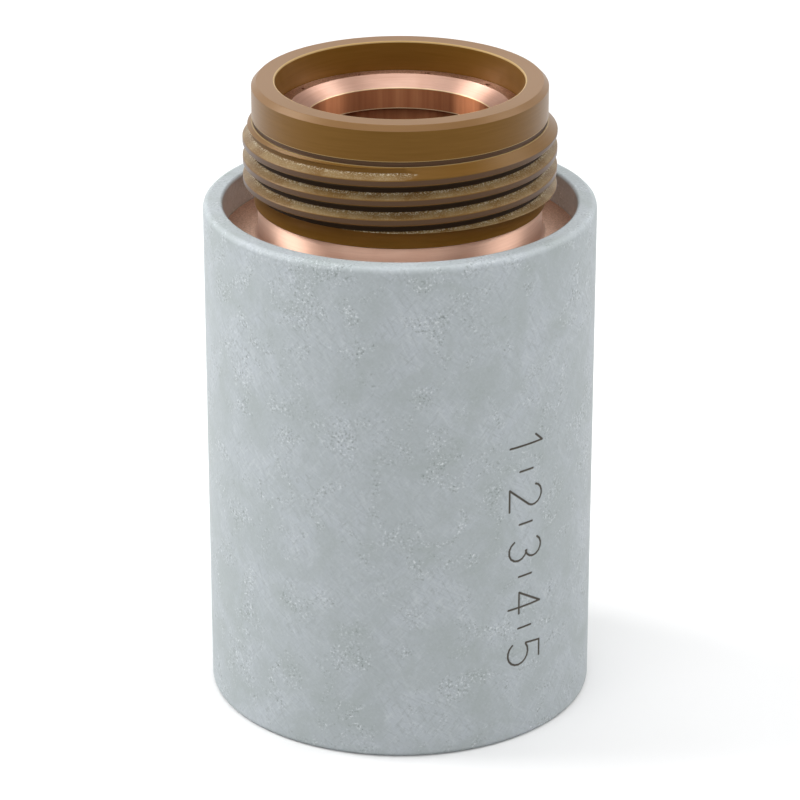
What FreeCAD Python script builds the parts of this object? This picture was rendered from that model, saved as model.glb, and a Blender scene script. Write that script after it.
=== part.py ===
import FreeCAD, Part
import os
import re
import Sketcher

# Retaining cap of a plasma torch: a copper sleeve that screws on the torch, an insulating shell round it
# and an insulating ring on its nose, which carries the thread of the shield.
# The cap stands on its rear end: z = 0 is the rear face, z is its axis, and the photograph's front is -y.
# All lengths are in millimetres and all angles in degrees.

SIZES = [
    # Moulded shell
    ("shell_outer_radius", 18.0, "outside of the shell"),
    ("shell_wall", 1.8, "wall of the shell round the sleeve"),
    ("shell_height", 48.0, "rear face to rim"),
    ("shell_seat_width", 1.0, "width of the shoulder that carries the sleeve"),
    ("shell_seat_height", 4.0, "height of that shoulder"),
    ("rim_chamfer", 0.25, "softened edges of the rim"),
    ("rear_chamfer", 0.35, "softened outer edge of the rear face"),
    ("mouth_chamfer", 0.6, "lead-in at the rear mouth"),
    ("bond_gap", 0.02, "bond line between bonded pieces, on the radius"),
    # Copper sleeve, rear part
    ("entry_wall", 1.28, "copper round the plain entry that centres the cap on the torch"),
    ("entry_depth", 4.0, "depth of the plain entry above the sleeve's rear face"),
    ("lead_in", 0.5, "lead-in chamfer of the entry and of the torch thread"),
    ("thread_step", 1.1, "step in from the plain entry to the crests of the torch thread"),
    ("torch_thread_length", 10.0, "length of the torch thread with its lead-in"),
    ("runout_depth", 0.9, "run-out groove behind the torch thread, from the thread's crests"),
    ("runout_width", 2.0, "width of that groove"),
    ("chamber_step", 0.6, "step in from the thread's crests to the chamber round the swirl ring"),
    ("chamber_roof", 3.2, "copper left between the pocket floor and the chamber's top"),
    ("throat_step", 1.3, "cone that opens the nose bore out to the throat inside the neck"),
    ("throat_drop", 2.0, "foot of that cone below the ring's seat"),
    # Copper sleeve, front part
    ("pocket_depth", 3.0, "depth of the pocket for the shield's skirt, from the rim"),
    ("neck_step", 1.71, "width of the ring's seat on the neck"),
    ("neck_chamfer", 0.15, "broken edge at the top of the neck"),
    ("ring_seat_rise", 0.05, "ring's seat above the rim"),
    ("nose_rise", 8.63, "ring's seat to the copper land"),
    ("nose_wall", 1.59, "wall of the nose under the nozzle bore"),
    ("land_width", 1.14, "flat land at the top of the nose"),
    ("seat_width", 1.51, "conical seat inside the land, on the radius"),
    ("seat_depth", 0.9, "depth of the conical seat"),
    ("nozzle_bore_length", 2.0, "length of the bore that centres the nozzle"),
    ("port_radius", 0.25, "gas port"),
    ("port_inset", 0.69, "middles of the gas ports, inside the outer edge of the land"),
    ("port_first_angle", 4.0, "first port, turned from +x towards +y"),
    ("port_count", 10, "number of gas ports"),
    ("port_sides", 12, "sides that stand for a port's round wall, which keeps the facets few"),
    # Insulating ring
    ("ring_wall", 2.13, "wall of the ring at the pilot"),
    ("ring_height", 11.4, "ring from its seat to its top"),
    ("ring_bore_chamfer", 0.12, "broken edge of the bore at the top"),
    ("pilot_step", 0.03, "step in from the thread's roots to the plain pilot above the thread"),
    ("pilot_length", 3.28, "top of the ring to the foot of the pilot"),
    ("pilot_chamfer", 0.46, "chamfer at the top of the pilot"),
    ("undercut_depth", 0.24, "shallow groove under the pilot, on the radius"),
    ("undercut_width", 0.45, "width of that groove"),
    ("thread_crest_radius", 14.2875, "crests of the shield's thread"),
    ("thread_depth", 0.8175, "crests to roots of the shield's thread"),
    ("thread_pitch", 1.8143, "pitch, fourteen turns to the inch"),
    ("thread_root_flat", 0.35, "flat at the root"),
    ("thread_flank_angle", 30.0, "slope of each flank from the thread's own plane"),
    ("thread_start_rise", 0.54, "middle of the cut where it starts at +x, above the ring's seat"),
    ("thread_turns", 3.77, "turns of the cut, which ends in the lead-in chamfer"),
    ("cutter_overhang", 0.3, "reach of the thread cutter beyond the crests"),
    ("foot_step", 0.17, "step in from the thread's roots to the plain foot under the thread"),
    ("foot_height", 1.6, "height of that foot"),
]

TOLERANCE = 1e-4

doc = FreeCAD.newDocument("retaining_cap")
sheet = doc.addObject("Spreadsheet::Sheet", "Sizes")
for row, (alias, value, meaning) in enumerate(SIZES, 1):
    sheet.set("A%d" % row, alias)
    sheet.set("B%d" % row, str(value))
    sheet.set("C%d" % row, meaning)
    sheet.setAlias("B%d" % row, alias)
doc.recompute()

ALIASES = {alias for alias, value, meaning in SIZES}


def bound(formula):
    """The formula with every size in it pointed at its cell of the sheet."""
    return re.sub(r"[a-z_]+", lambda word: "Sizes." + word[0] if word[0] in ALIASES else word[0], formula)


def origin_feature(body, role):
    """The body's own origin plane or axis with that role."""
    return next(part for part in body.Origin.OriginFeatures if part.Role == role)


def new_body(label):
    """An empty body whose label names its file."""
    body = doc.addObject("PartDesign::Body", label)
    body.Label = label
    return body


def sketch_on(body, name, role):
    """An empty sketch on one of the body's origin planes."""
    sketch = body.newObject("Sketcher::SketchObject", name)
    sketch.AttachmentSupport = (origin_feature(body, role), [""])
    sketch.MapMode = "FlatFace"
    return sketch


def tie(sketch, kind, name, formula, *places):
    """A named constraint whose value is a formula of the sheet's sizes."""
    number = sketch.addConstraint(Sketcher.Constraint(kind, *places, 1.0))
    sketch.renameConstraint(number, name)
    sketch.setExpression("Constraints." + name, bound(formula))


def outline(body, name, corners, role="XZ_Plane"):
    """A closed outline. Each corner is (name, across, up), which is distance from the axis and height."""
    sketch = sketch_on(body, name, role)
    count = len(corners)
    starts = [FreeCAD.Vector(1 + number, number * number, 0) for number in range(count)]
    for number in range(count):
        sketch.addGeometry(Part.LineSegment(starts[number], starts[(number + 1) % count]), False)
    for number in range(count):
        sketch.addConstraint(Sketcher.Constraint("Coincident", number, 2, (number + 1) % count, 1))
    for number, (corner, across, up) in enumerate(corners):
        tie(sketch, "DistanceX", corner + "_r", across, -1, 1, number, 1)
        tie(sketch, "DistanceY", corner + "_z", up, -1, 1, number, 1)
    doc.recompute()
    return sketch


def turned(body, name, sketch):
    """The outline turned once round the axis."""
    feature = body.newObject("PartDesign::Revolution", name)
    feature.Profile = (sketch, [""])
    feature.ReferenceAxis = (sketch, ["V_Axis"])
    feature.Angle = 360
    doc.recompute()
    return feature


def swept_edges(feature, sketch, corners):
    """Names of the round edges that the named corners of the outline swept."""
    found = []
    for corner in corners:
        radius = sketch.getDatum(corner + "_r").Value
        height = sketch.getDatum(corner + "_z").Value
        for number, edge in enumerate(feature.Shape.Edges, 1):
            curve = edge.Curve
            if not isinstance(curve, Part.Circle):
                continue
            if abs(curve.Radius - radius) < TOLERANCE and abs(curve.Center.z - height) < TOLERANCE:
                found.append("Edge%d" % number)
    return found


def bevelled(body, name, base, edges, size):
    """Takes one of the sheet's sizes off the edges of the base."""
    feature = body.newObject("PartDesign::Chamfer", name)
    feature.Base = (base, edges)
    feature.setExpression("Size", bound(size))
    doc.recompute()
    return feature


# Outer shell: a plain moulded tube. A shoulder inside its rear end carries the copper sleeve.
SHELL_BORE = "(shell_outer_radius - shell_wall)"
SHELL_MOUTH = "(shell_outer_radius - shell_wall - shell_seat_width)"

shell = new_body("outer_shell")
shell_outline = outline(shell, "shell_outline", [
    ("rear_outer", "shell_outer_radius", "0"),
    ("rim_outer", "shell_outer_radius", "shell_height"),
    ("rim_inner", SHELL_BORE, "shell_height"),
    ("shoulder_outer", SHELL_BORE, "shell_seat_height"),
    ("shoulder_inner", SHELL_MOUTH, "shell_seat_height"),
    ("mouth_top", SHELL_MOUTH, "mouth_chamfer"),
    ("mouth_edge", SHELL_MOUTH + " + mouth_chamfer", "0"),
])
shell_tube = turned(shell, "shell_tube", shell_outline)
rim_edges = swept_edges(shell_tube, shell_outline, ["rim_outer", "rim_inner"])
shell_rim = bevelled(shell, "shell_rim", shell_tube, rim_edges, "rim_chamfer")
rear_edges = swept_edges(shell_rim, shell_outline, ["rear_outer"])
bevelled(shell, "shell_rear", shell_rim, rear_edges, "rear_chamfer")

# Copper sleeve: turned from one bar. From the rear it has the plain entry, the torch thread's bore with its
# run-out groove, the chamber, the throat inside the neck and the nozzle bore with the conical seat.
# Its wide part ends below the shell's rim, which leaves a pocket round the neck. The nose fills the ring.
THREAD_ROOT = "(thread_crest_radius - thread_depth)"
PILOT_RADIUS = "(" + THREAD_ROOT + " - pilot_step)"
RING_BORE = "(" + PILOT_RADIUS + " - ring_wall)"
NOSE_RADIUS = "(" + RING_BORE + " - bond_gap)"
NECK_RADIUS = "(" + NOSE_RADIUS + " + neck_step)"
SEAT_RADIUS = "(" + NOSE_RADIUS + " - land_width)"
NOZZLE_BORE = "(" + SEAT_RADIUS + " - seat_width)"
NOSE_BORE = "(" + NOSE_RADIUS + " - nose_wall)"
THROAT_RADIUS = "(" + NOSE_BORE + " + throat_step)"
PORT_CIRCLE = "(" + NOSE_RADIUS + " - port_inset)"
SLEEVE_RADIUS = "(" + SHELL_BORE + " - bond_gap)"
ENTRY_RADIUS = "(" + SLEEVE_RADIUS + " - entry_wall)"
TORCH_BORE = "(" + ENTRY_RADIUS + " - thread_step)"
RUNOUT_RADIUS = "(" + TORCH_BORE + " + runout_depth)"
CHAMBER_RADIUS = "(" + TORCH_BORE + " - chamber_step)"
POCKET_FLOOR = "(shell_height - pocket_depth)"
RING_SEAT = "(shell_height + ring_seat_rise)"
LAND = "(" + RING_SEAT + " + nose_rise)"
BORE_END = "(" + LAND + " - seat_depth - nozzle_bore_length)"
ENTRY_TOP = "(shell_seat_height + entry_depth)"
THREAD_TOP = "(" + ENTRY_TOP + " + torch_thread_length)"
RUNOUT_TOP = "(" + THREAD_TOP + " + runout_width)"
CHAMBER_TOP = "(" + POCKET_FLOOR + " - chamber_roof)"
THROAT_TOP = "(" + RING_SEAT + " - throat_drop)"

sleeve = new_body("copper_sleeve")
sleeve_outline = outline(sleeve, "sleeve_outline", [
    ("rear_outer", SLEEVE_RADIUS, "shell_seat_height"),
    ("floor_outer", SLEEVE_RADIUS, POCKET_FLOOR),
    ("floor_inner", NECK_RADIUS, POCKET_FLOOR),
    ("neck_side", NECK_RADIUS, RING_SEAT + " - neck_chamfer"),
    ("neck_top", NECK_RADIUS + " - neck_chamfer", RING_SEAT),
    ("nose_foot", NOSE_RADIUS, RING_SEAT),
    ("land_outer", NOSE_RADIUS, LAND),
    ("land_inner", SEAT_RADIUS, LAND),
    ("seat_edge", NOZZLE_BORE, LAND + " - seat_depth"),
    ("bore_end", NOZZLE_BORE, BORE_END),
    ("nose_bore_top", NOSE_BORE, BORE_END),
    ("nose_bore_end", NOSE_BORE, THROAT_TOP + " + throat_step"),
    ("throat_top", THROAT_RADIUS, THROAT_TOP),
    ("throat_end", THROAT_RADIUS, CHAMBER_TOP),
    ("chamber_top", CHAMBER_RADIUS, CHAMBER_TOP + " + " + THROAT_RADIUS + " - " + CHAMBER_RADIUS),
    ("chamber_end", CHAMBER_RADIUS, RUNOUT_TOP),
    ("runout_top", RUNOUT_RADIUS, RUNOUT_TOP),
    ("runout_end", RUNOUT_RADIUS, THREAD_TOP),
    ("thread_top", TORCH_BORE, THREAD_TOP),
    ("thread_end", TORCH_BORE, ENTRY_TOP + " + lead_in"),
    ("thread_edge", TORCH_BORE + " + lead_in", ENTRY_TOP),
    ("entry_top", ENTRY_RADIUS, ENTRY_TOP),
    ("entry_end", ENTRY_RADIUS, "shell_seat_height + lead_in"),
    ("rear_inner", ENTRY_RADIUS + " + lead_in", "shell_seat_height"),
])
sleeve_blank = turned(sleeve, "sleeve_blank", sleeve_outline)

# Gas ports: one small hole drilled down through the land into the throat, then repeated round the axis.
PORT_X = PORT_CIRCLE + " * cos(port_first_angle) + port_radius * cos(360 / port_sides * %d)"
PORT_Y = PORT_CIRCLE + " * sin(port_first_angle) + port_radius * sin(360 / port_sides * %d)"
port_sides = int(sheet.get("port_sides"))
port_outline = outline(sleeve, "port_outline", [
    ("corner_%d" % side, PORT_X % side, PORT_Y % side) for side in range(port_sides)
], "XY_Plane")
first_port = sleeve.newObject("PartDesign::Pocket", "first_port")
first_port.Profile = (port_outline, [""])
first_port.Type = "ThroughAll"
first_port.Reversed = True
doc.recompute()
gas_ports = sleeve.newObject("PartDesign::PolarPattern", "gas_ports")
gas_ports.Originals = [first_port]
gas_ports.Axis = (origin_feature(sleeve, "Z_Axis"), [""])
gas_ports.Angle = 360
gas_ports.setExpression("Occurrences", bound("port_count"))
sleeve.Tip = gas_ports
doc.recompute()

# Insulating ring: turned from a brown high-temperature plastic and seated on the neck, round the nose.
# Its thread is a true right-hand helix. The cut starts in the plain foot and ends in the lead-in chamfer.
RING_TOP = "(" + RING_SEAT + " + ring_height)"
UNDERCUT_FOOT = "(" + RING_TOP + " - pilot_length - undercut_width)"
FOOT_RADIUS = "(" + THREAD_ROOT + " - foot_step)"

ring = new_body("insulator_ring")
ring_outline = outline(ring, "ring_outline", [
    ("seat_inner", RING_BORE, RING_SEAT),
    ("foot_edge", FOOT_RADIUS, RING_SEAT),
    ("foot_top", FOOT_RADIUS, RING_SEAT + " + foot_height"),
    ("crest_end", "thread_crest_radius", RING_SEAT + " + foot_height"),
    ("crest_top", "thread_crest_radius", UNDERCUT_FOOT + " - thread_depth"),
    ("lead_in_top", THREAD_ROOT, UNDERCUT_FOOT),
    ("undercut_foot", PILOT_RADIUS + " - undercut_depth", UNDERCUT_FOOT),
    ("undercut_top", PILOT_RADIUS + " - undercut_depth", RING_TOP + " - pilot_length"),
    ("pilot_foot", PILOT_RADIUS, RING_TOP + " - pilot_length"),
    ("pilot_side", PILOT_RADIUS, RING_TOP + " - pilot_chamfer"),
    ("top_outer", PILOT_RADIUS + " - pilot_chamfer", RING_TOP),
    ("top_inner", RING_BORE + " + ring_bore_chamfer", RING_TOP),
    ("bore_top", RING_BORE, RING_TOP + " - ring_bore_chamfer"),
])
ring_blank = turned(ring, "ring_blank", ring_outline)

START = "(" + RING_SEAT + " + thread_start_rise)"
CUTTER_RADIUS = "(thread_crest_radius + cutter_overhang)"
CUTTER_SPREAD = "(thread_root_flat / 2 + (thread_depth + cutter_overhang) * tan(thread_flank_angle))"
cutter = outline(ring, "thread_cutter", [
    ("root_low", THREAD_ROOT, START + " - thread_root_flat / 2"),
    ("outer_low", CUTTER_RADIUS, START + " - " + CUTTER_SPREAD),
    ("outer_high", CUTTER_RADIUS, START + " + " + CUTTER_SPREAD),
    ("root_high", THREAD_ROOT, START + " + thread_root_flat / 2"),
])
thread = ring.newObject("PartDesign::SubtractiveHelix", "shield_thread")
thread.Profile = (cutter, [""])
thread.ReferenceAxis = (origin_feature(ring, "Z_Axis"), [""])
thread.Mode = "pitch-turns-angle"
thread.setExpression("Pitch", bound("thread_pitch"))
thread.setExpression("Turns", bound("thread_turns"))
doc.recompute()

# Each cut has to have taken material away.
CUTS = [(shell_tube, shell_rim), (sleeve_blank, first_port), (first_port, gas_ports), (ring_blank, thread)]
for before, after in CUTS:
    if not after.Shape.Volume < before.Shape.Volume:
        raise ValueError(after.Name + " cuts nothing")

for thing in doc.Objects:
    if "Invalid" in thing.State or "Error" in thing.State:
        raise ValueError(thing.Name + " has failed")

os.makedirs("parts", exist_ok=True)
BODIES = [shell, sleeve, ring]
for body in BODIES:
    if body.Shape.isNull() or not body.Shape.isValid():
        raise ValueError(body.Label + " is not a valid solid")
for body in BODIES:
    body.Shape.exportStep("parts/" + body.Label + ".step")
    box = body.Shape.optimalBoundingBox()
    print(body.Label, len(body.Shape.Solids), "solid,", round(body.Shape.Volume, 1), "mm3,",
          "z", round(box.ZMin, 3), "to", round(box.ZMax, 3), "radius", round(box.XMax, 3))
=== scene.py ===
import math

import bpy
import numpy as np
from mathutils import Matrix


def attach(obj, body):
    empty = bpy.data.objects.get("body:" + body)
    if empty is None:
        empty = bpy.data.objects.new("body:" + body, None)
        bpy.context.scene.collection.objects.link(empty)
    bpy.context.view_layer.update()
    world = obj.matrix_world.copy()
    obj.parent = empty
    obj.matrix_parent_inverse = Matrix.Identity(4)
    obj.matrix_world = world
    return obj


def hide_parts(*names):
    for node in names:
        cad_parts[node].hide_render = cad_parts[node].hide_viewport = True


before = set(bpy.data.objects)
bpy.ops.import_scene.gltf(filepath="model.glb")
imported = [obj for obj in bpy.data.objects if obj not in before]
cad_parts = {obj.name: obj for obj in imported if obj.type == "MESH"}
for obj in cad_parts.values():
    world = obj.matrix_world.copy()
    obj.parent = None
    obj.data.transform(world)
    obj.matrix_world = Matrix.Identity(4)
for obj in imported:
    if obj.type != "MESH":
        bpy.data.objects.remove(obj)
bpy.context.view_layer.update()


# Outer shell: the grey tube that insulates the cap.
# It is moulded from a glass-filled thermoset and bonded over the copper sleeve. Its edges are slightly
# rounded by the mould, and an index scale is burnt into its side.
SHELL_RADIUS = 18.0
SHELL_BORE = 16.2
SHELL_HEIGHT = 48.0
SHELL_MOUTH = 15.2
SHELL_SHOULDER = 4.0
RIM_ROUND = 0.5
REAR_ROUND = 0.4
SHOULDER_ROUND = 0.2
MOUTH_ROUND = 0.1
MOUTH_CHAMFER = 0.6
PLAIN_ROW = 2.0
PLAIN_COLUMNS = 170
SHARP_ANGLE = math.radians(40)
RIM_NEAR = 0.03

# The pieces' sizes are in millimetres and their meshes in metres.
MM = 0.001

SCALE_CENTRE = math.radians(-90 + 39.4)
SCALE_HEIGHT = 3.8
SCALE_TOP = 30.7
SCALE_STEP = 2.62
SCALE_LENGTH = 9.1 * SCALE_STEP
SCALE_HEAD = 0.4
SCALE_SIDE = 0.3
STROKE = 0.2
STROKE_DEPTH = 0.08
FINE = 0.067

# Sizes of the moulding's patterns. The fibres are drawn wider than real ones, so that they show. Each
# of their lays has its slope round the tube, and how many times it is longer than wide.
FLOW_SIZE = 5.0
OPEN_SIZE = 3.4
CRUMB_SIZE = 0.24
CRUMB_RELIEF = 0.06
FIBRE_WIDTH = 0.32
FIBRE_LAYS = ((1.5, 3), (0.5, 5), (-0.8, 3))
RAISED_FIBRES = 0.32
SUNK_FIBRES = 0.25
FEWEST_FIBRES = 0.15
RIM_PITS = 0.6


def section_of(corners, arc_steps=3, margin=0.05, furthest=0.45):
    """Points round a closed section. Each corner is (radius, height, rounding, spacing to the next).

    A rounded corner is an arc that touches both its sides, with one more point the margin before and
    after it, but never past the furthest share of the side. A spacing fills the straight stretch after
    the corner with evenly spread points.
    """
    places = np.array([corner[:2] for corner in corners], float)
    count = len(corners)
    stretches = []
    for number in range(count):
        here = places[number]
        back = places[number - 1] - here
        on = places[(number + 1) % count] - here
        reach_back = np.hypot(*back)
        reach_on = np.hypot(*on)
        back = back / reach_back
        on = on / reach_on
        rounding = corners[number][2]
        if rounding > 0:
            half = math.acos(np.clip(back @ on, -1, 1)) / 2
            touch = rounding / math.tan(half)
            middle = here + (back + on) / np.hypot(*(back + on)) * rounding / math.sin(half)
            first = here + back * touch - middle
            last = here + on * touch - middle
            start = math.atan2(first[1], first[0])
            turn = (math.atan2(last[1], last[0]) - start + math.pi) % (2 * math.pi) - math.pi
            angles = start + turn * np.linspace(0, 1, arc_steps + 1)
            arc = middle + rounding * np.stack([np.cos(angles), np.sin(angles)], 1)
            stretches.append(here + back * min(touch + margin, furthest * (reach_back + touch)))
            stretches.extend(arc)
            stretches.append(here + on * min(touch + margin, furthest * (reach_on + touch)))
        else:
            stretches.append(here)
        if len(corners[number]) > 3:
            inner = int(round(reach_on / corners[number][3]))
            stretches.extend(here + on * reach_on * share for share in np.linspace(0, 1, inner + 1)[1:-1])
    return np.array(stretches)


def ring_grid(radius, height, azimuth):
    """Points and four-sided faces of a ring: rows follow its closed section, columns go round the axis.

    A point lies at x = radius cos(azimuth), y = radius sin(azimuth), z = height. Both directions join
    up with their own start, so the surface is closed.
    """
    radius, height, azimuth = np.broadcast_arrays(radius, height, azimuth)
    points = np.stack([radius * np.cos(azimuth), radius * np.sin(azimuth), height], -1)
    rows, columns = radius.shape
    number = np.arange(rows * columns).reshape(rows, columns)
    above = np.roll(number, -1, 0)
    beside = np.roll(number, -1, 1)
    faces = np.stack([number, beside, np.roll(above, -1, 1), above], -1)
    return points, number, faces


def piece_from(name, points, faces):
    """A mesh object of these points, given in millimetres, and four-sided faces.

    Only the points that a face uses are kept, and their numbers are given back with the object.
    """
    used, faces = np.unique(faces.reshape(-1, 4), return_inverse=True)
    faces = faces.reshape(-1, 4)
    points = points.reshape(-1, 3)[used] * MM
    mesh = bpy.data.meshes.new(name)
    mesh.vertices.add(len(points))
    mesh.vertices.foreach_set("co", points.ravel())
    mesh.loops.add(faces.size)
    mesh.loops.foreach_set("vertex_index", faces.ravel().astype(np.int32))
    mesh.polygons.add(len(faces))
    mesh.polygons.foreach_set("loop_start", np.arange(0, faces.size, 4, dtype=np.int32))
    mesh.polygons.foreach_set("use_smooth", np.ones(len(faces), bool))
    mesh.update(calc_edges=True)
    mesh.validate()
    piece = bpy.data.objects.new(name, mesh)
    bpy.context.scene.collection.objects.link(piece)
    return piece, used


def point_values(piece, name, values):
    """Keeps one number for each point of the piece, for its material to read."""
    store = piece.data.attributes.new(name, "FLOAT", "POINT")
    store.data.foreach_set("value", np.ascontiguousarray(values, np.float32))


def arc_points(across, along, radius, start, end, steps=10):
    """Points of an arc about (across, along), its angles in degrees from the reading direction."""
    angles = np.radians(np.linspace(start, end, steps))
    return [(across + radius * math.cos(a), along + radius * math.sin(a)) for a in angles]


# Each sign is a few lines on a field 0.55 wide and 1 high, given as (across, along).
SIGNS = {
    "1": [[(0.1, 0.78), (0.3, 1.0), (0.3, 0.0)]],
    "2": [arc_points(0.275, 0.735, 0.265, 165, -32) + [(0.0, 0.0), (0.56, 0.0)]],
    "3": [arc_points(0.26, 0.75, 0.25, 150, -78) + arc_points(0.26, 0.27, 0.27, 80, -155)],
    "4": [[(0.4, 0.0), (0.4, 1.0), (0.0, 0.32), (0.56, 0.32)]],
    "5": [[(0.5, 1.0), (0.08, 1.0), (0.03, 0.55)] + arc_points(0.25, 0.31, 0.31, 130, -145, 14)],
    "|": [[(0.27, 0.3), (0.27, 0.7)]],
}
SCALE_SIGNS = "1|2|3|4|5"


def stroke_distance(across, along, line):
    """Distance from each place to a line of straight runs: to each run's nearest point, the least."""
    nearest = np.full(across.shape, np.inf)
    for (x0, y0), (x1, y1) in zip(line[:-1], line[1:]):
        run_x = x1 - x0
        run_y = y1 - y0
        share = ((across - x0) * run_x + (along - y0) * run_y) / (run_x ** 2 + run_y ** 2)
        share = np.clip(share, 0, 1)
        nearest = np.minimum(nearest, np.hypot(across - x0 - share * run_x, along - y0 - share * run_y))
    return nearest


shell_section = section_of([
    (SHELL_RADIUS, 0, REAR_ROUND),
    (SHELL_RADIUS, SCALE_TOP - SCALE_LENGTH, 0, FINE),
    (SHELL_RADIUS, SCALE_TOP + SCALE_HEAD, 0, PLAIN_ROW),
    (SHELL_RADIUS, SHELL_HEIGHT, RIM_ROUND),
    (SHELL_BORE, SHELL_HEIGHT, RIM_ROUND / 2),
    (SHELL_BORE, SHELL_SHOULDER, SHOULDER_ROUND),
    (SHELL_MOUTH, SHELL_SHOULDER, MOUTH_ROUND),
    (SHELL_MOUTH, MOUTH_CHAMFER, 0),
    (SHELL_MOUTH + MOUTH_CHAMFER, 0, 0),
])
half_patch = (SCALE_HEIGHT / 2 + SCALE_SIDE) / SHELL_RADIUS
from_scale = np.concatenate([
    np.arange(-half_patch, half_patch, FINE / SHELL_RADIUS),
    np.linspace(half_patch, 2 * math.pi - half_patch, PLAIN_COLUMNS, endpoint=False),
])
shell_radius = np.repeat(shell_section[:, :1], len(from_scale), 1)
shell_height = np.repeat(shell_section[:, 1:], len(from_scale), 1)

# The scale reads downwards, with the tops of its signs towards the right of the photograph.
across = (SCALE_TOP - shell_height) / SCALE_HEIGHT
along = np.broadcast_to(from_scale[None, :] * SHELL_RADIUS / SCALE_HEIGHT + 0.5, across.shape)
gap = np.full(across.shape, np.inf)
for place, sign in enumerate(SCALE_SIGNS):
    for line in SIGNS[sign]:
        gap = np.minimum(gap, stroke_distance(across - place * SCALE_STEP / SCALE_HEIGHT, along, line))
gap = gap * SCALE_HEIGHT
on_side = shell_radius > SHELL_RADIUS - 1e-6
burnt = np.clip((STROKE / 2 + FINE / 2 - gap) / FINE, 0, 1) * on_side
on_rim = np.abs(shell_height - SHELL_HEIGHT) < RIM_NEAR

shell_radius = shell_radius - STROKE_DEPTH * burnt
points, number, faces = ring_grid(shell_radius, shell_height, SCALE_CENTRE + from_scale)
outer_shell, used = piece_from("outer_shell_moulding", points, faces)
outer_shell.data.set_sharp_from_angle(angle=SHARP_ANGLE)
point_values(outer_shell, "burnt", burnt.ravel()[used])
point_values(outer_shell, "rim_top", on_rim.ravel()[used])


def srgb(code):
    """The linear colour of an sRGB hex value: each part is raised as the standard's curve says."""
    parts = [int(code[place:place + 2], 16) / 255 for place in (1, 3, 5)]
    return [part / 12.92 if part <= 0.04045 else ((part + 0.055) / 1.055) ** 2.4 for part in parts] + [1]


def add_node(tree, kind, inputs=None, **settings):
    """Adds one node. Its settings are attributes, and an input is a value or another node's output."""
    node = tree.nodes.new(kind)
    for name, value in settings.items():
        setattr(node, name, value)
    for name, value in (inputs or {}).items():
        if isinstance(value, bpy.types.NodeSocket):
            tree.links.new(value, node.inputs[name])
        else:
            node.inputs[name].default_value = value
    return node


def new_material(name):
    """An empty material with its output node, and the object coordinates that its patterns follow."""
    material = bpy.data.materials.new(name)
    material.use_nodes = True
    tree = material.node_tree
    tree.nodes.clear()
    output = add_node(tree, "ShaderNodeOutputMaterial")
    place = add_node(tree, "ShaderNodeTexCoord").outputs["Object"]
    return material, tree, output, place


def coated(tree, colour, coats):
    """Lays coats over a colour, one after another. Each is (pattern, bare at, full at, strength, colour).

    A coat covers nothing where its pattern has the first value, and by its strength where it has the
    second. Between the two its cover grows evenly.
    """
    for pattern, bare, full, strength, tint in coats:
        cover = add_node(tree, "ShaderNodeMapRange", {
            "Value": pattern, "From Min": bare, "From Max": full, "To Min": 0, "To Max": strength,
        }).outputs[0]
        colour = add_node(tree, "ShaderNodeMix", {0: cover, 6: colour, 7: tint}, data_type="RGBA").outputs[2]
    return colour


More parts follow.
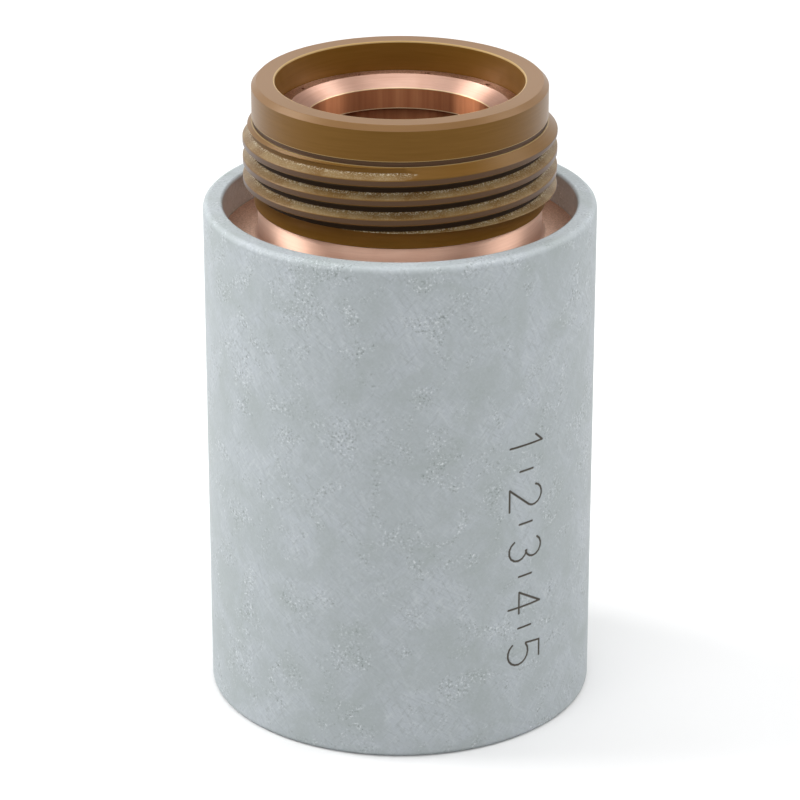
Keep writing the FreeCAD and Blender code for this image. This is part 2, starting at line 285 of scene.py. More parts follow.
def glass_filled_thermoset():
    """Moulded thermoset with short glass fibres: matt, mottled where it flowed.

    The fibres show as short streaks that run aslant round the tube, three ways, more where the melt
    flowed fast. In scattered patches the skin is open, and there the surface is crumbly, with light
    and dark grains. The rim's top has small dark pits, and the scale is burnt dark.
    """
    material, tree, output, place = new_material("glass_filled_thermoset")
    height = add_node(tree, "ShaderNodeSeparateXYZ", {0: place}).outputs[2]
    burnt = add_node(tree, "ShaderNodeAttribute", attribute_name="burnt").outputs["Fac"]
    rim = add_node(tree, "ShaderNodeAttribute", attribute_name="rim_top").outputs["Fac"]
    flow = add_node(tree, "ShaderNodeTexNoise", {
        "Vector": place, "Scale": 1 / (FLOW_SIZE * MM), "Detail": 4, "Roughness": 0.6, "Distortion": 0.6,
    }).outputs[0]
    crumbs = add_node(tree, "ShaderNodeTexNoise", {
        "Vector": place, "Scale": 1 / (CRUMB_SIZE * MM), "Detail": 2, "Roughness": 0.7,
    }).outputs[0]
    patches = add_node(tree, "ShaderNodeTexNoise", {
        "Vector": place, "Scale": 1 / (OPEN_SIZE * MM), "Detail": 3, "Roughness": 0.6, "Distortion": 1.0,
    }).outputs[0]
    open_skin = add_node(tree, "ShaderNodeMapRange", {
        "Value": patches, "From Min": 0.5, "From Max": 0.64, "To Min": 0.12, "To Max": 0.9,
    }).outputs[0]
    raised, sunk = [
        add_node(tree, "ShaderNodeMapRange", {
            "Value": flow, "From Min": 0.42, "From Max": 0.6, "To Min": FEWEST_FIBRES * most, "To Max": most,
        }).outputs[0]
        for most in (RAISED_FIBRES, SUNK_FIBRES)
    ]
    colour = coated(tree, srgb("#B1B9BA"), [(flow, 0.35, 0.65, 1, srgb("#BEC5CA"))])
    for slope, length in FIBRE_LAYS:
        twist = add_node(tree, "ShaderNodeMath", {0: height, 1: slope / (SHELL_RADIUS * MM)},
                         operation="MULTIPLY").outputs[0]
        turned = add_node(tree, "ShaderNodeVectorRotate", {"Vector": place, "Angle": twist},
                          rotation_type="Z_AXIS").outputs[0]
        drawn = add_node(tree, "ShaderNodeVectorMath", {0: turned, 1: (1, 1, 1 / length)},
                         operation="MULTIPLY").outputs[0]
        fibres = add_node(tree, "ShaderNodeTexNoise", {
            "Vector": drawn, "Scale": 1 / (FIBRE_WIDTH * MM), "Detail": 2, "Roughness": 0.5,
        }).outputs[0]
        colour = coated(tree, colour, [
            (fibres, 0.57, 0.7, raised, srgb("#D2D8D9")),
            (fibres, 0.43, 0.3, sunk, srgb("#949C9B")),
        ])
    pitted = add_node(tree, "ShaderNodeMath", {0: rim, 1: RIM_PITS}, operation="MULTIPLY").outputs[0]
    colour = coated(tree, colour, [
        (crumbs, 0.56, 0.68, open_skin, srgb("#E0E5E7")),
        (crumbs, 0.44, 0.32, open_skin, srgb("#8C9493")),
        (crumbs, 0.37, 0.3, pitted, srgb("#6E7880")),
        (burnt, 0.1, 0.8, 1, srgb("#4A443B")),
    ])
    rough = add_node(tree, "ShaderNodeMath", {0: crumbs, 1: open_skin}, operation="MULTIPLY").outputs[0]
    bump = add_node(tree, "ShaderNodeBump", {
        "Height": rough, "Strength": 0.4, "Distance": CRUMB_RELIEF * MM,
    }).outputs[0]
    shader = add_node(tree, "ShaderNodeBsdfPrincipled", {
        "Base Color": colour, "Roughness": 0.55, "Normal": bump, "Specular IOR Level": 0.4,
    })
    tree.links.new(shader.outputs[0], output.inputs["Surface"])
    return material


outer_shell.data.materials.append(glass_filled_thermoset())
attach(outer_shell, "root")
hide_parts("outer_shell")


# Copper sleeve: turned from one bar, wide inside the shell, then a neck and a nose. Its wide part ends
# below the shell's rim. The torch's thread is cut in its rear bore, and ten gas ports are drilled
# from the land into the throat. The shell is bonded to its outside.
SLEEVE_RADIUS = 16.18
POCKET_FLOOR = 45.0
NECK_RADIUS = 13.0
NECK_FILLET = 0.3
RING_SEAT = 48.05
NOSE_RADIUS = 11.29
LAND = 56.68
SEAT_EDGE = 10.15
BORE_RADIUS = 8.64
BORE_TOP = 55.78
BORE_END = 53.78
NOSE_BORE = 9.7
CONE_TOP = 47.35
THROAT_RADIUS = 11.0
THROAT_TOP = 46.05
THROAT_END = 41.8
CHAMBER_RADIUS = 13.2
CHAMBER_TOP = 39.6
RUNOUT_RADIUS = 14.7
RUNOUT_TOP = 20.0
RUNOUT_ROUND = 0.15
ENTRY_RADIUS = 14.9
ENTRY_TOP = 8.0
LEAD_IN = 0.5
SHOULDER_BREAK = 0.1
NECK_BREAK = 0.12
EDGE_BREAK = 0.06
FINE_BREAK = 0.04

TORCH_BORE = 13.8
TORCH_THREAD_TOP = 18.0
TORCH_THREAD_END = 8.5
TORCH_PITCH = 1.5
TORCH_ROOT = 14.45
TORCH_ROOT_FLAT = 0.2
FLANK = math.tan(math.radians(30))
TORCH_ROW = 0.09
LEAD_IN_ROW = 0.12

PORT_CIRCLE = 10.6
PORT_RADIUS = 0.25
PORT_BAND = [10.95, 10.8, 10.4, 10.25]
PORTS = 10
PORT_FIRST = math.radians(4)
PORT_REACH = 3
SLEEVE_COLUMNS = 480

# How near to a face or an edge a point is held to be part of it, and where the passage's painted shade
# starts and ends.
ON_FACE = 0.01
ON_EDGE = 0.05
PAST_SEAT = 0.02
PAST_NECK = 0.1
NECK_NEAR = 0.5
PASSAGE_SHADE_INSIDE = 0.3
PASSAGE_SHADE_BELOW = 0.03
PASSAGE_SHADE_UNDER_FLOOR = 0.5
FLOOR_FACED = 0.7

# Sizes of the copper's patterns. The tool's lines are drawn coarser than real ones, so that they show.
COPPER_LINE = 0.16
COPPER_RELIEF = 0.02
FILM_SIZE = 4.0
STREAK_WIDTH = 1.1
STREAK_LENGTH = 20 * STREAK_WIDTH
SPECK_SIZE = 0.16
DRIFT = 0.05


def cone_height(radius):
    """Height of the throat's cone at this radius: one down for each one outwards."""
    return CONE_TOP - (radius - NOSE_BORE)


sleeve_section = section_of([
    (SLEEVE_RADIUS, SHELL_SHOULDER, 0),
    (SLEEVE_RADIUS, POCKET_FLOOR, SHOULDER_BREAK),
    (NECK_RADIUS, POCKET_FLOOR, NECK_FILLET),
    (NECK_RADIUS, RING_SEAT, NECK_BREAK),
    (NOSE_RADIUS, RING_SEAT, 0),
    (NOSE_RADIUS, LAND, EDGE_BREAK),
    *[(radius, LAND, 0) for radius in PORT_BAND],
    (SEAT_EDGE, LAND, FINE_BREAK),
    (BORE_RADIUS, BORE_TOP, EDGE_BREAK),
    (BORE_RADIUS, BORE_END, FINE_BREAK),
    (NOSE_BORE, BORE_END, 0),
    (NOSE_BORE, CONE_TOP, 0),
    *[(radius, cone_height(radius), 0) for radius in PORT_BAND[::-1]],
    (THROAT_RADIUS, THROAT_TOP, 0),
    (THROAT_RADIUS, THROAT_END, 0),
    (CHAMBER_RADIUS, CHAMBER_TOP, 0),
    (CHAMBER_RADIUS, RUNOUT_TOP, 0),
    (RUNOUT_RADIUS, RUNOUT_TOP, RUNOUT_ROUND),
    (RUNOUT_RADIUS, TORCH_THREAD_TOP, RUNOUT_ROUND),
    (TORCH_BORE, TORCH_THREAD_TOP, 0, TORCH_ROW),
    (TORCH_BORE, TORCH_THREAD_END, 0, LEAD_IN_ROW),
    (TORCH_BORE + LEAD_IN, ENTRY_TOP, 0),
    (ENTRY_RADIUS, ENTRY_TOP, 0),
    (ENTRY_RADIUS, SHELL_SHOULDER + LEAD_IN, 0),
    (ENTRY_RADIUS + LEAD_IN, SHELL_SHOULDER, 0),
])
sleeve_azimuth = PORT_FIRST + np.linspace(0, 2 * math.pi, SLEEVE_COLUMNS, endpoint=False)
sleeve_radius = np.repeat(sleeve_section[:, :1], SLEEVE_COLUMNS, 1)
sleeve_height = np.repeat(sleeve_section[:, 1:], SLEEVE_COLUMNS, 1)

# The torch thread: a groove whose middle rises one pitch in each turn, with a flat root and straight
# flanks. The wall lies at the groove's surface wherever that is further out.
turn = sleeve_azimuth / (2 * math.pi)
offset = (sleeve_height - TORCH_PITCH * turn + TORCH_PITCH / 2) % TORCH_PITCH - TORCH_PITCH / 2
groove = TORCH_ROOT - np.clip(np.abs(offset) - TORCH_ROOT_FLAT / 2, 0, None) / FLANK
in_thread = (sleeve_height <= TORCH_THREAD_TOP) & (sleeve_height > ENTRY_TOP - ON_FACE)
in_thread &= sleeve_radius < TORCH_ROOT
sleeve_radius = np.where(in_thread, np.maximum(sleeve_radius, groove), sleeve_radius)

points, number, faces = ring_grid(sleeve_radius, sleeve_height, sleeve_azimuth)


def row_at(radius, height):
    """Number of the section's point nearest to this radius and height."""
    return int(np.argmin(np.hypot(*(sleeve_section - (radius, height)).T)))


def port_frame(rows, centres):
    """Numbers of the points on the frame round each port, in order: one row of numbers for each port."""
    steps = np.arange(-PORT_REACH, PORT_REACH + 1)
    frame_rows = [rows[0]] * len(steps) + rows[1:-1] + [rows[-1]] * len(steps) + rows[-2:0:-1]
    frame_steps = [*steps, PORT_REACH, PORT_REACH, *steps[::-1], -PORT_REACH, -PORT_REACH]
    return number[np.array(frame_rows), (centres[:, None] + frame_steps) % SLEEVE_COLUMNS]


def joined(first, second):
    """Four-sided faces between two closed loops of equally many points."""
    return np.stack([first, np.roll(first, -1, 1), np.roll(second, -1, 1), second], -1).reshape(-1, 4)


# Each port takes the place of a patch of faces on the land and of one on the cone. Its wall is a round
# loop at the land, one straight below it at the cone, and the faces between them and the two patches.
top_rows = [row_at(radius, LAND) for radius in PORT_BAND]
cone_rows = [row_at(radius, cone_height(radius)) for radius in PORT_BAND]
port_columns = np.arange(PORTS) * SLEEVE_COLUMNS // PORTS
cut = np.zeros(number.shape, bool)
for step in range(-PORT_REACH, PORT_REACH):
    for rows in (range(top_rows[0], top_rows[-1]), range(cone_rows[-1], cone_rows[0])):
        cut[np.ix_(list(rows), (port_columns + step) % SLEEVE_COLUMNS)] = True
top_frame = port_frame(top_rows, port_columns)
cone_frame = port_frame(cone_rows, port_columns)
flat_points = points.reshape(-1, 3)
port_angle = PORT_FIRST + port_columns * 2 * math.pi / SLEEVE_COLUMNS
middles = PORT_CIRCLE * np.stack([np.cos(port_angle), np.sin(port_angle)], 1)[:, None, :]
away = flat_points[top_frame][..., :2] - middles
rim = middles + PORT_RADIUS * away / np.linalg.norm(away, axis=-1, keepdims=True)
port_top = np.concatenate([rim, np.full(rim.shape[:2] + (1,), LAND)], -1)
port_foot = np.concatenate([rim, cone_height(np.linalg.norm(rim, axis=-1, keepdims=True))], -1)
first_top = flat_points.shape[0]
top_loop = first_top + np.arange(port_top[..., 0].size).reshape(top_frame.shape)
foot_loop = top_loop + port_top[..., 0].size
all_points = np.concatenate([flat_points, port_top.reshape(-1, 3), port_foot.reshape(-1, 3)])
all_faces = np.concatenate([
    faces[~cut],
    joined(top_frame, top_loop),
    joined(top_loop, foot_loop),
    joined(foot_loop, cone_frame),
])
copper_sleeve, used = piece_from("copper_sleeve_turning", all_points, all_faces)
copper_sleeve.data.set_sharp_from_angle(angle=SHARP_ANGLE)

# The passage and the gas ports are painted a darker, streaked brown as painted shade. The two faced flats
# are cut finer than the rest, and are painted darker as painted shade and reflection.
from_axis = np.hypot(all_points[:, 0], all_points[:, 1])
level = all_points[:, 2]
# Painted shade: the passage, the ports and everything below the pocket floor are painted darker brown.
passage_shade = (from_axis < SEAT_EDGE - PASSAGE_SHADE_INSIDE) & (level < BORE_TOP - PASSAGE_SHADE_BELOW)
passage_shade |= (level < POCKET_FLOOR - PASSAGE_SHADE_UNDER_FLOOR) | (np.arange(len(all_points)) >= first_top)
# The faced flats are the land and the pocket floor. Their mask sets their finer finish and their painted
# shade and reflection.
on_land = (np.abs(level - LAND) < ON_FACE) & (from_axis > SEAT_EDGE + PAST_SEAT)
on_floor = (np.abs(level - POCKET_FLOOR) < ON_FACE) & (from_axis > NECK_RADIUS + PAST_NECK)
# Painted highlight: thin bright lines at the bore's top and end edges.
on_bore_edge = np.hypot(from_axis - BORE_RADIUS, level - BORE_TOP) < ON_EDGE
on_bore_edge |= np.hypot(from_axis - BORE_RADIUS, level - BORE_END) < ON_EDGE
point_values(copper_sleeve, "passage_shade", passage_shade[used])
point_values(copper_sleeve, "faced_flat_shade", (on_land + FLOOR_FACED * on_floor)[used])
point_values(copper_sleeve, "bore_edge_highlight", on_bore_edge[used])

# The seat is painted a little darker and mauve as painted shade, and the neck paler as a painted highlight.
# Painted shade: the seat, darker and mauve.
on_seat = (from_axis > BORE_RADIUS) & (from_axis < SEAT_EDGE + PAST_SEAT) & (level > BORE_TOP + PAST_SEAT)
# Painted highlight: the neck, painted paler.
on_neck = (np.abs(from_axis - NECK_RADIUS) < NECK_NEAR) & (level > POCKET_FLOOR + ON_FACE)
point_values(copper_sleeve, "seat_painted_shade", on_seat[used])
point_values(copper_sleeve, "neck_painted_highlight", on_neck[used])


def turned_place(tree, place):
    """Where a turned piece's lines are alike: at one distance from the axis and one height.

    The third value drifts slowly across the piece, so that no line is the same all the way round.
    """
    parts = add_node(tree, "ShaderNodeSeparateXYZ", {0: place}).outputs
    flat = add_node(tree, "ShaderNodeCombineXYZ", {0: parts[0], 1: parts[1]}).outputs[0]
    distance = add_node(tree, "ShaderNodeVectorMath", {0: flat}, operation="LENGTH").outputs["Value"]
    drift = add_node(tree, "ShaderNodeMath", {0: parts[0], 1: DRIFT}, operation="MULTIPLY").outputs[0]
    return add_node(tree, "ShaderNodeCombineXYZ", {0: distance, 1: parts[2], 2: drift}).outputs[0]


def turned_copper():
    """Bare copper as turned: rings left by the tool, a mottled thin film, and painted shade and light that
    differ from face to face.

    The passage is painted a darker brown in upright streaks as painted shade. The two flats are painted
    darker as painted shade and reflection, and are finely speckled. The seat is painted a little darker and
    mauve as painted shade, and the neck palest as a painted highlight. The bore's edges carry a painted
    highlight. The tool's lines spread reflections across themselves, so the metal is anisotropic.
    """
    material, tree, output, place = new_material("turned_copper")
    passage, seat, neck, faced, edge = [
        add_node(tree, "ShaderNodeAttribute", attribute_name=name).outputs["Fac"]
        for name in ("passage_shade", "seat_painted_shade", "neck_painted_highlight", "faced_flat_shade", "bore_edge_highlight")
    ]
    lines = add_node(tree, "ShaderNodeTexNoise", {
        "Vector": turned_place(tree, place), "Scale": 1 / (COPPER_LINE * MM), "Detail": 3, "Roughness": 0.6,
    }).outputs[0]
    film = add_node(tree, "ShaderNodeTexNoise", {
        "Vector": place, "Scale": 1 / (FILM_SIZE * MM), "Detail": 4, "Roughness": 0.6, "Distortion": 0.5,
    }).outputs[0]
    upright = add_node(tree, "ShaderNodeVectorMath", {0: place, 1: (1, 1, STREAK_WIDTH / STREAK_LENGTH)},
                       operation="MULTIPLY").outputs[0]
    streaks = add_node(tree, "ShaderNodeTexNoise", {
        "Vector": upright, "Scale": 1 / (STREAK_WIDTH * MM), "Detail": 3, "Roughness": 0.6,
    }).outputs[0]
    specks = add_node(tree, "ShaderNodeTexNoise", {
        "Vector": place, "Scale": 1 / (SPECK_SIZE * MM), "Detail": 2, "Roughness": 0.7,
    }).outputs[0]
    # Painted shade: the passage's darker brown, in upright streaks.
    shaded_passage_colour = coated(tree, srgb("#9C6242"), [(streaks, 0.3, 0.7, 1, srgb("#BC7E58"))])
    # Painted shade and reflection on the faced flats: a darker copper, with real fine specks.
    speckled_flat_shade = coated(tree, srgb("#AC7A62"), [(specks, 0.42, 0.6, 1, srgb("#DCB096"))])
    colour = coated(tree, srgb("#FAD3B8"), [
        (film, 0.4, 0.7, 0.4, srgb("#E3B08C")),
        (lines, 0.35, 0.7, 0.5, srgb("#D49E78")),
        # Painted shade over the passage and the ports.
        (passage, 0, 1, 1, shaded_passage_colour),
        # Painted shade on the seat: darker and mauve.
        (seat, 0, 1, 0.5, srgb("#D8B2A8")),
        # Painted highlight on the neck: a pale peach.
        (neck, 0, 1, 0.5, srgb("#FFDCCC")),
        # Painted shade and reflection over the faced flats, with their specks.
        (faced, 0, 1, 0.85, speckled_flat_shade),
        # Painted highlight on the bore's edges.
        (edge, 0, 1, 1, srgb("#FFE6BE")),
    ])
    coarse = add_node(tree, "ShaderNodeMapRange", {
        "Value": film, "From Min": 0.3, "From Max": 0.7, "To Min": 0.5, "To Max": 0.6,
    }).outputs[0]
    roughness = add_node(tree, "ShaderNodeMapRange", {
        "Value": faced, "From Min": 0, "From Max": 1, "To Min": coarse, "To Max": 0.3,
    }).outputs[0]
    bump = add_node(tree, "ShaderNodeBump", {
        "Height": lines, "Strength": 0.35, "Distance": COPPER_RELIEF * MM,
    }).outputs[0]
    shader = add_node(tree, "ShaderNodeBsdfPrincipled", {
        "Base Color": colour, "Metallic": 1.0, "Roughness": roughness, "Normal": bump,
        "Anisotropic": 0.95, "Anisotropic Rotation": 0.25,
    })
    tree.links.new(shader.outputs[0], output.inputs["Surface"])
    return material


copper_sleeve.data.materials.append(turned_copper())
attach(copper_sleeve, "root")
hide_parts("copper_sleeve")


# Insulating ring: carries the shield. It is turned from a brown high-temperature plastic and pressed
# over the copper nose down to the neck. Its outside thread is right-hand, with one start.
RING_BORE = 11.31
RING_TOP = 59.45
PILOT_RADIUS = 13.44
PILOT_FOOT = 56.17
PILOT_CHAMFER = 0.46
UNDERCUT_RADIUS = 13.2
UNDERCUT_FOOT = 55.72
CREST_RADIUS = 14.2875
ROOT_RADIUS = 13.47
FOOT_RADIUS = 13.3
FOOT_TOP = 49.65
SHIELD_PITCH = 1.8143
SHIELD_ROOT_FLAT = 0.35
SHIELD_START = 48.59
SHIELD_TURNS = 3.77
SHIELD_FADE = 12 / 360
CHAMFER_BREAK = 0.08
UNDERCUT_BREAK = 0.05
BORE_ROUND = 0.12
EDGE_SOFTNESS = 0.02
CORNER_MARGIN = 0.04
RING_COLUMNS = 480
RING_ROW = 0.045
FOOT_ROW = 0.1

# Where the tool has left which finish, and where painted shade and light lie: depths of cut, and widths
# along the height.
TORN_DEPTH = 0.1
TORN_START = 0.05
TORN_WIDTH = 0.18
TORN_MOST = 1.3
TORN_LEAST = 0.15
SHADE_START = 0.06
SHADE_DEPTH = 0.25
SHADE_FADE_LAPS = 0.5
CREST_FADE = 0.05
CREST_DEPTH = 0.06
CREST_WIDTH = 0.25
FACE_NEAR = 0.03
CHAMFER_NEAR = 0.02
CHAMFER_LIGHT_SHARE = 0.8
LIGHT_TOP = 0.13
LIGHT_PILOT = 0.06
LIGHT_UNDERCUT = 0.03

# Sizes of the ring's patterns. The tool's lines are drawn coarser than real ones, so that they show.
RING_LINE = 0.2
GRAIN_SIZE = 0.14
PATCH_SIZE = 2.0
RING_RELIEF = 0.05
LINE_SHARE = 0.3


def shield_groove(height, azimuth):
    """Radius of the groove's surface: its root, and outside the flat root one out per flank's slope.

    The groove's middle rises one pitch per turn from its start, and the cut fades out over its last
    few degrees, where the tool is drawn back.
    """
    turned = (azimuth % (2 * math.pi)) / (2 * math.pi)
    surface = np.full(np.broadcast(height, azimuth).shape, np.inf)
    for lap in range(math.ceil(SHIELD_TURNS)):
        away = np.abs(height - SHIELD_START - SHIELD_PITCH * (turned + lap))
        cut = ROOT_RADIUS + np.clip(away - SHIELD_ROOT_FLAT / 2, 0, None) / FLANK
        past = np.clip((turned + lap - SHIELD_TURNS) / SHIELD_FADE + 0.5, 0, 1)
        surface = np.minimum(surface, cut + past)
    return surface


ring_section = section_of([
    (FOOT_RADIUS, RING_SEAT, CHAMFER_BREAK),
    (FOOT_RADIUS, FOOT_TOP, 0, FOOT_ROW),
    (CREST_RADIUS, FOOT_TOP, 0, RING_ROW),
    (CREST_RADIUS, UNDERCUT_FOOT - CREST_RADIUS + ROOT_RADIUS, 0, RING_ROW),
    (ROOT_RADIUS, UNDERCUT_FOOT, 0),
    (UNDERCUT_RADIUS, UNDERCUT_FOOT, UNDERCUT_BREAK),
    (UNDERCUT_RADIUS, PILOT_FOOT, UNDERCUT_BREAK),
    (PILOT_RADIUS, PILOT_FOOT, UNDERCUT_BREAK),
    (PILOT_RADIUS, RING_TOP - PILOT_CHAMFER, CHAMFER_BREAK),
    (PILOT_RADIUS - PILOT_CHAMFER, RING_TOP, CHAMFER_BREAK),
    (RING_BORE, RING_TOP, BORE_ROUND),
    (RING_BORE, RING_SEAT, 0),
], margin=CORNER_MARGIN)
ring_azimuth = np.linspace(0, 2 * math.pi, RING_COLUMNS, endpoint=False)
ring_turn = ring_azimuth / (2 * math.pi)
blank_radius = np.repeat(ring_section[:, :1], RING_COLUMNS, 1)
ring_height = np.repeat(ring_section[:, 1:], RING_COLUMNS, 1)
groove = shield_groove(ring_height, ring_azimuth)
laps = np.arange(math.ceil(SHIELD_TURNS) + 1)[:, None, None]
lap_offset = ring_height - (SHIELD_START + SHIELD_PITCH * (ring_turn + laps))
nearest_lap = np.abs(lap_offset).argmin(0)[None]
above_middle = np.take_along_axis(lap_offset, nearest_lap, 0)[0]

# Above the foot the surface is the lesser of blank and groove, with softly broken edges. On the step
# out from the foot the points are spread between the foot and whichever of the two bounds the step.
crest_bound = np.minimum(CREST_RADIUS, shield_groove(FOOT_TOP, ring_azimuth))
share = (blank_radius - FOOT_RADIUS) / (CREST_RADIUS - FOOT_RADIUS)
on_step = (np.abs(ring_height - FOOT_TOP) < 1e-6) & (blank_radius >= FOOT_RADIUS - 1e-6)
softened = -EDGE_SOFTNESS * np.logaddexp(-blank_radius / EDGE_SOFTNESS, -groove / EDGE_SOFTNESS)
in_cut = (ring_height > FOOT_TOP) & (ring_height < UNDERCUT_FOOT) & (blank_radius > ROOT_RADIUS)
ring_radius = np.where(in_cut, softened, blank_radius)
ring_radius = np.where(on_step, FOOT_RADIUS + share * (crest_bound - FOOT_RADIUS), ring_radius)
cut_depth = np.where(in_cut | on_step, blank_radius - ring_radius, 0)

# The finish follows the cut: a lower flank torn most next to the root, painted paler as painted light where
# it faces up, with pale grains next to the root that are partly torn grain and partly painted glints. The
# root and upper flank are painted dark as painted shade, which ends where the tool is drawn back.
below_root = -SHIELD_ROOT_FLAT / 2 - above_middle
# Painted light: the torn lower flank faces up, and its paler colour stands for the light from above. Its
# roughness is real.
torn_lit_flank = np.clip(cut_depth / TORN_DEPTH, 0, 1) * np.clip(below_root / TORN_START, 0, 1)
# Painted glints: pale grains next to the root, on the torn flank.
torn_glint_edge = torn_lit_flank * np.clip(TORN_MOST - below_root / TORN_WIDTH, TORN_LEAST, 1)
laps_left = SHIELD_TURNS - ring_turn - nearest_lap[0]
# Painted shade: a dark root and upper flank, fading out at the groove's end.
root_shade = np.clip((cut_depth - SHADE_START) / SHADE_DEPTH, 0, 1) * (1 - torn_lit_flank)
root_shade = root_shade * np.clip(laps_left / SHADE_FADE_LAPS, 0, 1)

# The crests and the undercut are narrow and smooth, and painted a dark mauve as a painted reflection. The
# top and its chamfer were faced last, and are painted paler as painted light, and three edges carry painted
# highlights.
on_crest = np.clip((blank_radius - CREST_RADIUS + CREST_FADE) / CREST_FADE, 0, 1)
on_crest = on_crest * np.clip(1 - cut_depth / CREST_DEPTH, 0, 1)
from_groove = SHIELD_PITCH / 2 - np.abs(above_middle)
on_crest = on_crest * np.clip((CREST_WIDTH - from_groove) / CREST_FADE, 0, 1)
in_undercut = (ring_height > UNDERCUT_FOOT - FACE_NEAR) & (ring_height < PILOT_FOOT + FACE_NEAR)
in_undercut &= ring_radius > (RING_BORE + UNDERCUT_RADIUS) / 2
# Painted reflection: the crests and the undercut, dark mauve.
smooth_face_reflection = np.maximum(on_crest, in_undercut)
# Painted light: the top and its chamfer, paler.
top_painted_light = CHAMFER_LIGHT_SHARE * (ring_height > RING_TOP - PILOT_CHAMFER - CHAMFER_NEAR)
top_painted_light = top_painted_light + (1 - CHAMFER_LIGHT_SHARE) * (ring_height > RING_TOP - FACE_NEAR)
top_painted_light = top_painted_light * (ring_radius > RING_BORE + ON_FACE)
# Painted highlight: thin light lines at the bore's top edge, the pilot's foot and the undercut's foot.
edge_painted_highlight = np.hypot(ring_radius - RING_BORE, ring_height - RING_TOP) < LIGHT_TOP
edge_painted_highlight |= np.hypot(ring_radius - PILOT_RADIUS, ring_height - PILOT_FOOT) < LIGHT_PILOT
edge_painted_highlight |= np.hypot(ring_radius - ROOT_RADIUS, ring_height - UNDERCUT_FOOT) < LIGHT_UNDERCUT

points, number, faces = ring_grid(ring_radius, ring_height, ring_azimuth)
insulator_ring, used = piece_from("insulator_ring_turning", points, faces)
for name, values in (
    ("torn_lit_flank", torn_lit_flank),
    ("torn_glint_edge", torn_glint_edge),
    ("root_shade", root_shade),
    ("smooth_face_reflection", smooth_face_reflection),
    ("top_painted_light", top_painted_light),
    ("edge_painted_highlight", edge_painted_highlight),
):
    point_values(insulator_ring, name, values.ravel()[used])


def brown_polyimide():
    """High-temperature plastic, machined: satin, opaque, with fine tool rings.

    The lower flanks of its thread are torn, dull and rough, and painted paler as painted light where they
    face up, with pale grains next to the root that are partly torn grain and partly painted glints. The root
    and the upper flanks are painted dark as painted shade. It reflects a little brownish, so grooves seen
    from above stay warm.
    """
    material, tree, output, place = new_material("brown_polyimide")
    torn_lit, edge, shade, mauve_reflection, faced, edge_highlight = [
        add_node(tree, "ShaderNodeAttribute", attribute_name=name).outputs["Fac"]
        for name in ("torn_lit_flank", "torn_glint_edge", "root_shade", "smooth_face_reflection", "top_painted_light", "edge_painted_highlight")
    ]
    lines = add_node(tree, "ShaderNodeTexNoise", {
        "Vector": turned_place(tree, place), "Scale": 1 / (RING_LINE * MM), "Detail": 3, "Roughness": 0.6,
    }).outputs[0]
    grain = add_node(tree, "ShaderNodeTexNoise", {
        "Vector": place, "Scale": 1 / (GRAIN_SIZE * MM), "Detail": 2, "Roughness": 0.7,
    }).outputs[0]
    patches = add_node(tree, "ShaderNodeTexNoise", {
        "Vector": place, "Scale": 1 / (PATCH_SIZE * MM), "Detail": 2, "Roughness": 0.5,
    }).outputs[0]
    # Painted light: the torn flank's paler tan.
    flank = coated(tree, srgb("#785C34"), [(patches, 0.4, 0.6, 1, srgb("#8F7852"))])
    colour = coated(tree, srgb("#6E4C18"), [
        (lines, 0.3, 0.7, 1, srgb("#765320")),
        # Painted light on the top and its chamfer.
        (faced, 0, 1, 1, srgb("#846341")),
        # Painted reflection on the crests and the undercut: a dark mauve.
        (mauve_reflection, 0, 1, 1, srgb("#523C2C")),
        # Painted shade in the thread's root and upper flanks.
        (shade, 0, 1, 1, srgb("#160A03")),
        # Painted highlight on three edges.
        (edge_highlight, 0, 1, 0.8, srgb("#C0A26C")),
        # Painted light over the torn lower flanks.
        (torn_lit, 0, 1, 0.85, flank),
        # Painted glints: pale grains on the torn flank next to the root.
        (grain, 0.51, 0.62, edge, srgb("#DDD3BA")),
    ])
    roughness = add_node(tree, "ShaderNodeMapRange", {
        "Value": shade, "From Min": 0, "From Max": 1, "To Min": 0.36, "To Max": 0.8,
    }).outputs[0]
    height = add_node(tree, "ShaderNodeMath", {0: grain, 1: torn_lit}, operation="MULTIPLY").outputs[0]
    height = add_node(tree, "ShaderNodeMath", {0: lines, 1: LINE_SHARE, 2: height},
                      operation="MULTIPLY_ADD").outputs[0]
    bump = add_node(tree, "ShaderNodeBump", {
        "Height": height, "Strength": 0.4, "Distance": RING_RELIEF * MM,
    }).outputs[0]
    shader = add_node(tree, "ShaderNodeBsdfPrincipled", {
        "Base Color": colour, "Roughness": roughness, "Normal": bump, "Specular IOR Level": 0.5,
        "Specular Tint": srgb("#CEB294"), "Anisotropic": 0.4, "Anisotropic Rotation": 0.25,
    })
    tree.links.new(shader.outputs[0], output.inputs["Surface"])
    return material


insulator_ring.data.materials.append(brown_polyimide())
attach(insulator_ring, "root")
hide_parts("insulator_ring")


# Floor and background: a white table that runs out into a white surround.
# Seen directly the table is white outside the shadow, also far off where no lamp reaches it. The light
# that it throws back is that of a grey table, as the photograph's cap gets little light from below.

# From here on lengths are in metres.
FLOOR_HALF = 4.0
FLOOR_DROP = 0.02 * MM
PAPER_RADIUS = 0.12
WHITE_RADIUS = 0.35
SURROUND_LEVEL = 0.35
CEILING_LEVEL = 0.45
WALL_TOP = math.sin(math.radians(25))
CEILING_FOOT = math.sin(math.radians(36))

corners = np.array([[-1, -1, 0], [1, -1, 0], [1, 1, 0], [-1, 1, 0]], float) * FLOOR_HALF
corners[:, 2] = -FLOOR_DROP
table_mesh = bpy.data.meshes.new("table_top")
table_mesh.from_pydata(corners.tolist(), [], [(0, 1, 2, 3)])
table = bpy.data.objects.new("table_top", table_mesh)
bpy.context.scene.collection.objects.link(table)


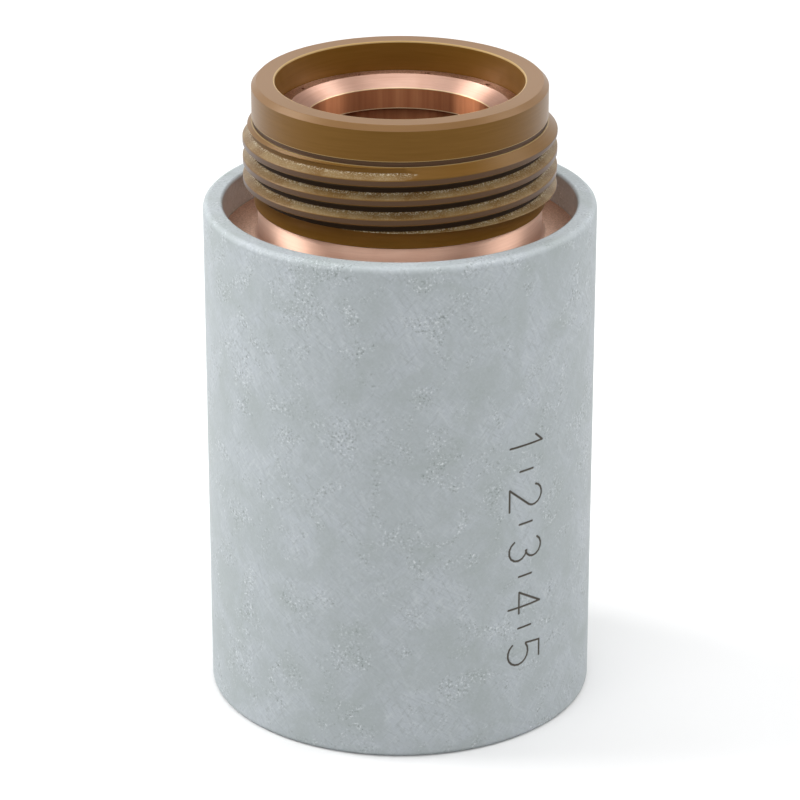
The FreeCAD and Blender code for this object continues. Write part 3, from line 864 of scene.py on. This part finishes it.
def seen_directly(tree):
    """One for rays from the camera, and for those that metal or glass sends on. Else nought."""
    path = add_node(tree, "ShaderNodeLightPath").outputs
    seen = add_node(tree, "ShaderNodeMath", {0: path["Is Camera Ray"], 1: path["Is Glossy Ray"]},
                    operation="MAXIMUM").outputs[0]
    return add_node(tree, "ShaderNodeMath", {0: seen, 1: path["Is Transmission Ray"]},
                    operation="MAXIMUM").outputs[0]


def white_table():
    """Matt white paper. Further out, where it is seen directly, it shines white instead."""
    material, tree, output, place = new_material("white_table")
    seen = seen_directly(tree)
    paper = coated(tree, srgb("#B4B4B4"), [(seen, 0, 1, 1, srgb("#F8F8F8"))])
    matt = add_node(tree, "ShaderNodeBsdfDiffuse", {"Color": paper}).outputs[0]
    white = add_node(tree, "ShaderNodeEmission", {"Color": srgb("#FFFFFF"), "Strength": 1.0}).outputs[0]
    outwards = add_node(tree, "ShaderNodeVectorMath", {0: place}, operation="LENGTH").outputs["Value"]
    far = add_node(tree, "ShaderNodeMapRange", {
        "Value": outwards, "From Min": PAPER_RADIUS, "From Max": WHITE_RADIUS, "To Min": 0, "To Max": seen,
    }).outputs[0]
    run_out = add_node(tree, "ShaderNodeMixShader", {0: far, 1: matt, 2: white})
    tree.links.new(run_out.outputs[0], output.inputs["Surface"])
    return material


table.data.materials.append(white_table())

# The surround is white up to a low height all round, and fades above that into a dimmer ceiling.
world = bpy.data.worlds.new("white_surround")
bpy.context.scene.world = world
world.use_nodes = True
tree = world.node_tree
tree.nodes.clear()
way = add_node(tree, "ShaderNodeTexCoord").outputs["Object"]
rise = add_node(tree, "ShaderNodeSeparateXYZ", {0: way}).outputs[2]
wall = add_node(tree, "ShaderNodeMapRange", {
    "Value": rise, "From Min": WALL_TOP, "From Max": CEILING_FOOT, "To Min": 1, "To Max": CEILING_LEVEL,
}).outputs[0]
shine = add_node(tree, "ShaderNodeMapRange", {
    "Value": seen_directly(tree), "From Min": 0, "From Max": 1, "To Min": SURROUND_LEVEL, "To Max": wall,
}).outputs[0]
sky = add_node(tree, "ShaderNodeBackground", {"Color": srgb("#FFFFFF"), "Strength": shine})
surround = add_node(tree, "ShaderNodeOutputWorld")
tree.links.new(sky.outputs[0], surround.inputs["Surface"])


# Lights: a soft box high on each side, the left one stronger, one above, and a wide one over the
# camera. Each is turned towards the cap.
def soft_box(name, place, aim_height, width, height, watts):
    """An area lamp at a place, turned towards the cap's axis at a height."""
    lamp = bpy.data.lights.new(name, "AREA")
    lamp.shape = "RECTANGLE"
    lamp.size = width
    lamp.size_y = height
    lamp.energy = watts
    holder = bpy.data.objects.new(name, lamp)
    bpy.context.scene.collection.objects.link(holder)
    x, y, z = place
    holder.location = place
    holder.rotation_euler = (math.atan2(math.hypot(x, y), z - aim_height), 0, math.atan2(x, -y))


soft_box("left_box", place=(-0.55, 0.12, 0.42), aim_height=0.03, width=0.34, height=0.4, watts=3.15)
soft_box("right_box", place=(0.56, 0.08, 0.42), aim_height=0.03, width=0.38, height=0.4, watts=1.85)
soft_box("top_box", place=(0.0, 0.08, 0.75), aim_height=0.05, width=0.5, height=0.8, watts=2.2)
soft_box("front_box", place=(-0.1, -0.68, 0.5), aim_height=0.03, width=1.5, height=0.6, watts=3.1)


# Camera: in front of the cap, looking down on it, as far away as the photograph's shapes tell.
CAMERA_DISTANCE = 0.3133
CAMERA_HEIGHT = 0.1610
CAMERA_PITCH = math.radians(23)
FOCAL_PIXELS = 3641
PICTURE_PIXELS = 800
SENSOR = 36.0

lens = bpy.data.cameras.new("camera")
lens.sensor_width = SENSOR
lens.lens = FOCAL_PIXELS / PICTURE_PIXELS * SENSOR
camera = bpy.data.objects.new("camera", lens)
camera.location = (0, -CAMERA_DISTANCE, CAMERA_HEIGHT)
camera.rotation_euler = (math.pi / 2 - CAMERA_PITCH, 0, 0)
bpy.context.scene.collection.objects.link(camera)
bpy.context.scene.camera = camera
bpy.context.scene.view_settings.view_transform = "Standard"
